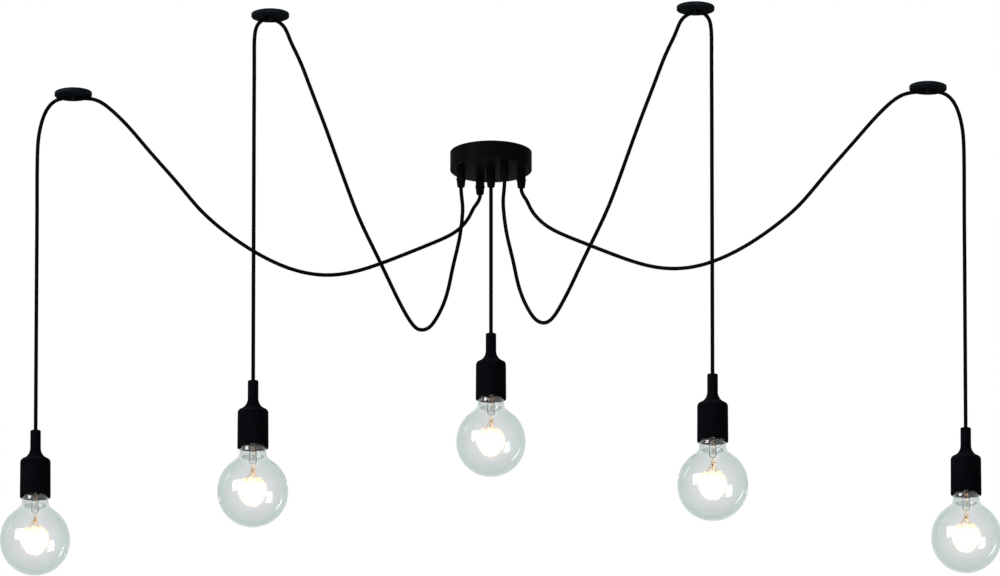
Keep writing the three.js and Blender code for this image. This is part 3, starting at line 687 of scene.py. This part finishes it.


# The second colour of each glass is painted shade at its edges, not a tint of the glass.
globeGlass = glassFinish("globeGlass", {
    "facing": (0.862, 0.864, 0.87), "paintedEdgeShade": (0.47, 0.61, 0.58), "ior": 1.4, "waviness": 0.000015,
})
stemGlass = glassFinish("stemGlass", {
    "facing": (0.975, 0.985, 0.98), "paintedEdgeShade": (0.9, 0.93, 0.925), "ior": 1.33, "waviness": 0.00001,
})


def glassProfile(setup):
    # The lower half is a true circle, the rest a spline through measured points, and the inner wall
    # is the same line moved in along its normal.
    angle = np.linspace(0.0, math.pi / 2, setup["bowlSteps"])[:-1]
    lower = np.stack([
        setup["radius"] * np.sin(angle), -setup["drop"] - setup["radius"] * np.cos(angle),
    ], -1)
    outer = smoothLine(np.vstack([lower, np.array(setup["upper"]) * (1, -1)]), setup["step"])
    outer[0, 0] = 0.0
    tangent = np.gradient(outer, axis=0)
    tangent /= np.linalg.norm(tangent, axis=1)[:, None]
    inner = outer + setup["wall"] * np.stack([-tangent[:, 1], tangent[:, 0]], -1)
    inner[0] = (0.0, outer[0, 1] + setup["wall"])
    both = np.vstack([outer, inner[::-1]])
    return np.hstack([both, np.zeros((len(both), 1))])


def capSkin(setup, centre):
    # The shell's radius is crest - (crest - root) x (1 - swell) x fade. Swell is half of 1 + cosine
    # of the turns climbed less the angle round, which makes the helix. Fade lets the thread run out
    # over a third of a turn at both ends.
    share = np.linspace(0.0, 1.0, setup["rows"])[:, None] * setup["turns"]
    height = setup["threadFrom"] + share * setup["pitch"]
    angle = np.arange(setup["sides"]) * (2 * math.pi / setup["sides"])
    fade = np.clip(np.minimum(share, setup["turns"] - share) * setup["fadeRate"], 0, 1)
    swell = 0.5 + 0.5 * np.cos(2 * math.pi * share - angle)
    radius = setup["crest"] - (setup["crest"] - setup["root"]) * (1 - swell) * fade
    skirt, crest, topZ, endZ = setup["skirt"], setup["crest"], height[-1, 0], setup["shoulderTop"]
    below = softCorners([
        (setup["inner"], skirt, 0), (setup["rim"], skirt, 0.3),
        (crest, skirt + setup["rimHeight"], 0.3), (crest, height[0, 0], 0),
    ])
    above = softCorners([
        (crest, topZ, 0), (setup["neck"], topZ + setup["neckRise"], 0.5), (setup["shoulder"], endZ, 0.3),
        (setup["hole"], endZ, 0.1), (setup["hole"], endZ - setup["wall"], 0.1),
        (setup["innerTop"], topZ, 0.3), (setup["inner"], skirt, 0),
    ])
    threaded = np.stack([
        centre[0] + radius * mm * np.cos(angle), centre[1] + radius * mm * np.sin(angle),
        centre[2] + height * mm + 0 * radius,
    ], -1)
    rings = np.concatenate([
        turnedRings(below[:-1], centre, setup["sides"]), threaded,
        turnedRings(above[1:-1], centre, setup["sides"]),
    ])
    wear = np.concatenate([below[:-1, 2], setup["threadWear"] * fade[:, 0], above[1:-1, 2]])
    return skin(rings, looped=True, wear=wear)


# Inside the lamp, in millimetres from the sleeve's rim: a glass stem, a bead on a rod, two leads that
# wind round the rod, and the lit filament, which goes up and down round them
stemSetup = {
    "sides": 32, "smallSides": 24, "beadZ": -31.4, "footZ": -53.2,
    "pressFrom": -12.0, "pressOver": 7.0, "widen": 0.3, "narrow": 0.45,
    "tube": [
        (0.0, -22.5, 0), (3.0, -22.3, 0.8), (4.4, -17.0, 2.0), (4.4, 3.0, 2.5), (6.4, 7.0, 2.0),
        (9.6, 12.6, 0.4), (9.6, 13.2, 0.2), (8.6, 13.2, 0.2), (5.4, 8.4, 2.0), (2.4, 6.0, 1.0),
        (0.0, 5.6, 0),
    ],
    "bead": [(0.0, -33.6, 0), (2.7, -33.4, 1.4), (2.7, -29.4, 1.4), (0.0, -29.2, 0)],
    "foot": [(0.0, -55.0, 0), (2.4, -54.8, 1.2), (2.4, -51.4, 1.2), (0.0, -51.2, 0)],
    "rod": [(0.0, -51.8, 0), (1.3, -51.8, 0.2), (1.3, -21.9, 0.2), (0.0, -21.9, 0)],
}
# The second tube round the filament, 3.2 mm in radius, is a painted halo of light round the lit core.
filamentSetup = {
    "high": (12.0, -46.5), "middle": (15.0, -60.0), "low": (6.0, -77.0), "peaks": 8, "wobble": 0.14,
    "wobblePhase": 2.3, "leadAngleDeg": 10.0, "core": 0.8, "coat": 3.2, "sides": 10, "step": 1.0,
}
leadSetup = {
    "radius": 0.42, "sides": 8, "turns": 1.5, "coilRadius": 3.0, "coilTop": -22.5, "coilBottom": -38.0,
    "points": 24, "openRate": 1.4, "step": 1.0, "across": (0.13, 0.31, 0.94),
    "tail": [(1.2, 1.2, -17.0), (1.4, 1.6, 2.0), (2.0, 3.0, 12.0)], "tailStep": 2.0, "tailShare": 0.8,
    "tailAcross": (0.0, 1.0, 0.1), "supportRadius": 0.2, "supportSides": 6, "supportStep": 2.0,
    "supportRise": 1.2, "supportTilt": 0.01,
}
wireMetal = solidFinish("wireMetal", {
    **satinBlack, "dark": (0.55, 0.34, 0.12), "light": (0.85, 0.6, 0.28), "worn": (0.9, 0.7, 0.4),
    "cloudScale": 500.0, "grainScale": 3000.0, "grainStrength": 0.1, "roughness": 0.28,
    "metallic": 1.0, "specular": 0.5,
})
glowLook = {
    "core": {"cool": (0.12, 0.075, 0.045), "hot": (1.0, 0.9, 0.74), "strength": 14.0, "alpha": 1.0},
    # the second entry is a painted halo: a faint, see-through glow round the core, not a part of the lamp
    "coat": {"cool": (0.85, 0.62, 0.46), "hot": (1.0, 0.8, 0.64), "strength": 1.5, "alpha": 0.27},
}


# What the filament's core and its painted halo share
glowSetup = {"patchScale": 90.0, "patchSpread": 0.6, "metal": (0.6, 0.36, 0.14), "roughness": 0.5}


def glowFinish(name, look):
    # Lit all along, cooler where the upper hooks hold it and in slow patches. The wear of its mesh is
    # its heat.
    material, start, place = newMaterial(name)
    heat = start.make("ShaderNodeAttribute", {"attribute_name": "wear"}, output="Fac")
    patches = place.noise(glowSetup["patchScale"]) - noiseMiddle
    heat = (heat + patches * glowSetup["patchSpread"]).clamped()
    closeMaterial(start, {
        "Base Color": (*glowSetup["metal"], 1.0),
        "Roughness": glowSetup["roughness"],
        "Alpha": look["alpha"],
        "Emission Color": heat.colours(look["cool"], look["hot"]),
        "Emission Strength": look["strength"],
    })
    return material


filamentCore = glowFinish("filamentCore", glowLook["core"])
# A see-through glowing shell round the core: painted glow, a halo of light, not a part of the filament.
filamentCoat = glowFinish("filamentCoat", glowLook["coat"])


def cageBends(setup):
    # The filament's bends, in even steps round the stem from one lead to the other: high, middle,
    # low, middle, and so on, each a radius and a height. The radii differ by a sine of the step.
    lead = math.radians(setup["leadAngleDeg"])
    step = np.arange(4 * setup["peaks"] + 1)
    angle = lead + (2 * math.pi - 2 * lead) * step / step[-1]
    ring = np.array([setup["high"], setup["middle"], setup["low"], setup["middle"]])[step % 4]
    radius = ring[:, 0] * (1 + setup["wobble"] * np.sin(setup["wobblePhase"] * step))
    return np.stack([radius * np.cos(angle), radius * np.sin(angle), ring[:, 1]], -1)


def leadLine(setup, side, end):
    # A coil round the rod, then out to the filament's end. The coil's angle grows evenly from top to
    # bottom, and its radius from a half to the whole by a sine.
    share = np.linspace(0.0, 1.0, setup["points"])
    angle = math.pi * (0 if side > 0 else 1) + 2 * math.pi * setup["turns"] * share
    opened = np.clip(share * setup["openRate"], 0.0, 0.5)
    radius = setup["coilRadius"] * (0.5 + 0.5 * np.sin(math.pi * opened))
    coil = np.stack([
        radius * np.cos(angle), radius * np.sin(angle),
        setup["coilTop"] + (setup["coilBottom"] - setup["coilTop"]) * share,
    ], -1)
    return np.vstack([coil, end])


def addInside(number, centre):
    body = f"bulb_{number}"
    tube = softCorners(stemSetup["tube"])
    rings = turnedRings(tube[1:-1], (0, 0, 0), stemSetup["sides"])
    press = np.clip((stemSetup["pressFrom"] * mm - rings[..., 2]) / (stemSetup["pressOver"] * mm), 0, 1)
    rings[..., 0] *= 1 + stemSetup["widen"] * press
    rings[..., 1] *= 1 - stemSetup["narrow"] * press
    ends = [np.array([0, 0, tube[at, 1]]) * mm + centre for at in (0, -1)]
    glass = [skin(rings + centre, *ends)]
    glass += [
        turnedSkin(softCorners(stemSetup[name]), centre, stemSetup["smallSides"])
        for name in ("rod", "bead", "foot")
    ]
    addPiece(f"bulbStem{number}", glass, stemGlass, body, (f"bulb_mount_{number}",))

    bends = cageBends(filamentSetup)
    wires = []
    for side, end in ((1, bends[0]), (-1, bends[-1])):
        line = smoothLine(leadLine(leadSetup, side, end), leadSetup["step"]) * mm + centre
        leadRadius = leadSetup["radius"] * mm
        wires.append(tubeSkin(line, leadRadius, leadSetup["sides"], leadSetup["across"]))
        tail = np.array(leadSetup["tail"]) * (1, side, 1)
        tail = smoothLine(tail, leadSetup["tailStep"]) * mm + centre
        tailRadius = leadRadius * leadSetup["tailShare"]
        wires.append(tubeSkin(tail, tailRadius, leadSetup["sides"], leadSetup["tailAcross"]))
    for rootZ, first in ((stemSetup["beadZ"], 4), (stemSetup["footZ"], 2)):
        for bend in bends[first:-1:4]:
            root = np.array([0, 0, rootZ])
            middle = (root + bend) / 2 + [0, 0, leadSetup["supportRise"]]
            line = smoothLine([root, middle, bend], leadSetup["supportStep"]) * mm + centre
            across = (-bend[1], bend[0], leadSetup["supportTilt"])
            supportRadius = leadSetup["supportRadius"] * mm
            wires.append(tubeSkin(line, supportRadius, leadSetup["supportSides"], across))
    addPiece(f"bulbWires{number}", wires, wireMetal, body)

    line = smoothLine(bends, filamentSetup["step"])
    highZ, middleZ = filamentSetup["high"][1], filamentSetup["middle"][1]
    heat = np.clip((highZ - line[:, 2]) / (highZ - middleZ), 0, 1) ** 2
    outwards = line * (1, 1, 0)
    line = line * mm + centre
    # The core is the lit filament. The wider tube round it is a painted halo of light.
    for name, finish in (("core", filamentCore), ("coat", filamentCoat)):
        glow = tubeSkin(line, filamentSetup[name] * mm, filamentSetup["sides"], outwards, heat)
        addPiece(f"filament{name.title()}{number}", [glow], finish, body, creaseDeg=80.0)


def addLamp(number):
    x, y, _ = hangPlace(number)
    centre = np.array([x, y, -rimDepths[number] * mm])
    pendant, cap = f"pendant_{number}", f"bulb_cap_{number}"
    sleeve = turnedSkin(softCorners(sleeveSetup["profile"], 6)[:-1], centre, sleeveSetup["sides"])
    addPiece(f"sleeve{number}", [sleeve], sleeveSilicone, pendant, (f"holder_sleeve_{number}",))
    holder = turnedSkin(softCorners(holderSetup["profile"]), centre, holderSetup["sides"])
    addPiece(
        f"lampholder{number}", [holder], holderPlastic, pendant, (f"lampholder_{number}",),
    )
    addPiece(f"bulbCap{number}", [capSkin(capSetup, centre)], capBrass, cap, (cap,))
    tip = turnedSkin(softCorners(capSetup["tip"]), centre, capSetup["tipSides"])
    addPiece(f"bulbTip{number}", [tip], holderPlastic, cap)
    globe = turnedSkin(glassProfile(globeSetup), centre, globeSetup["sides"])
    addPiece(
        f"bulbGlobe{number}", [globe], globeGlass, f"bulb_{number}",
        (f"bulb_glass_{number}",), creaseDeg=70.0,
    )
    addInside(number, centre)


for number in lamps:
    addLamp(number)
print("lamps made")

# Solids that stay as they are get a finish here.
zincPlate = solidFinish("zincPlate", {
    **satinBlack, "dark": (0.38, 0.39, 0.38), "light": (0.62, 0.63, 0.61), "worn": (0.7, 0.7, 0.68),
    "cloudScale": 210.0, "grainScale": 1700.0, "grainStrength": 0.15, "roughnessSpread": 0.22,
    "metallic": 1.0, "specular": 0.5,
})
darkScrew = solidFinish("darkScrew", {
    **satinBlack, "dark": (0.02, 0.02, 0.021), "light": (0.05, 0.05, 0.052), "worn": (0.1, 0.1, 0.1),
    "cloudScale": 400.0, "grainScale": 2500.0, "roughnessSpread": 0.15, "metallic": 1.0, "specular": 0.5,
})
creamPlastic = solidFinish("creamPlastic", {
    **satinBlack, "dark": (0.55, 0.5, 0.39), "light": (0.66, 0.61, 0.49), "worn": (0.7, 0.66, 0.55),
    "cloudScale": 130.0, "grainScale": 1500.0, "grainDepth": 0.0001, "roughness": 0.48, "specular": 0.5,
})
keptSolids = {
    "ceiling_bracket": zincPlate, "canopy_screw": darkScrew, "terminal_block": creamPlastic,
    **{f"hook_screw_{number}": zincPlate for number in hookPlaces},
}
for nodeName, material in keptSolids.items():
    for materialSlot in nodes[nodeName].material_slots:
        materialSlot.material = material
print("kept solids finished:", len(keptSolids))

# Floor, white surroundings and two soft boxes far off
floorSetup = {
    "z": -2400.0, "y": -300.0, "radius": 3200.0, "thickness": 20.0, "colour": (0.86, 0.86, 0.855),
    "patchScale": 3.0, "patchDetail": 3.0, "patchShade": 0.985, "roughness": 0.8,
}


def addFloor(setup):
    profile = np.array([
        [0.0, -setup["thickness"], 0], [setup["radius"], -setup["thickness"], 0],
        [setup["radius"], 0, 0], [0, 0, 0],
    ])
    mesh = meshFrom("floor", [turnedSkin(profile, (0.0, setup["y"] * mm, setup["z"] * mm))])
    material, start, place = newMaterial("floorPaint")
    pale = setup["colour"]
    darker = tuple(value * setup["patchShade"] for value in pale)
    patches = place.noise(setup["patchScale"], setup["patchDetail"])
    closeMaterial(start, {
        "Base Color": patches.colours(pale, darker),
        "Roughness": setup["roughness"],
    })
    mesh.materials.append(material)
    floor = bpy.data.objects.new("floor", mesh)
    scene.collection.objects.link(floor)


addFloor(floorSetup)

worldSetup = {"seen": 1.0, "light": 0.75}


def addWorld(setup):
    # White to the camera, in reflections and through glass, and dimmer as a light on the object.
    world = bpy.data.worlds.new("studio")
    world.use_nodes = True
    scene.world = world
    world.node_tree.nodes.clear()
    start = Wire(world.node_tree)
    camera = start.make("ShaderNodeLightPath", output="Is Camera Ray")
    seen = (camera + camera.sibling("Is Glossy Ray") + camera.sibling("Is Transmission Ray")).clamped()
    strength = setup["light"] + seen * (setup["seen"] - setup["light"])
    back = start.make("ShaderNodeBackground", {}, {"Color": (1.0, 1.0, 1.0, 1.0), "Strength": strength})
    start.make("ShaderNodeOutputWorld", {}, {"Surface": back})


addWorld(worldSetup)

# Each light faces the lamps from a direction and a distance, and its strength is its brightness.
lightSetup = {
    "keyBox": {"towards": (-0.785, -0.6, 0.155), "distance": 30.0, "size": (16.2, 15.4), "strength": 14.0},
    "rimStrip": {"towards": (0.824, 0.472, -0.312), "distance": 25.0, "size": (1.3, 14.0), "strength": 7.0},
}
lightTarget = Vector((0.0, -0.35, -0.55))


def addLight(name, setup):
    light = bpy.data.objects.new(name, bpy.data.lights.new(name, "AREA"))
    light.data.shape = "RECTANGLE"
    light.data.size, light.data.size_y = setup["size"]
    light.data.energy = setup["strength"] * math.pi * setup["size"][0] * setup["size"][1]
    towards = Vector(setup["towards"]).normalized()
    light.location = lightTarget + towards * setup["distance"]
    light.rotation_mode = "QUATERNION"
    light.rotation_quaternion = (-towards).to_track_quat("-Z", "Y")
    light.visible_camera = False
    scene.collection.objects.link(light)


for lightName, setup in lightSetup.items():
    addLight(lightName, setup)
scene.view_settings.view_transform = "Standard"
print("stage and lights made")
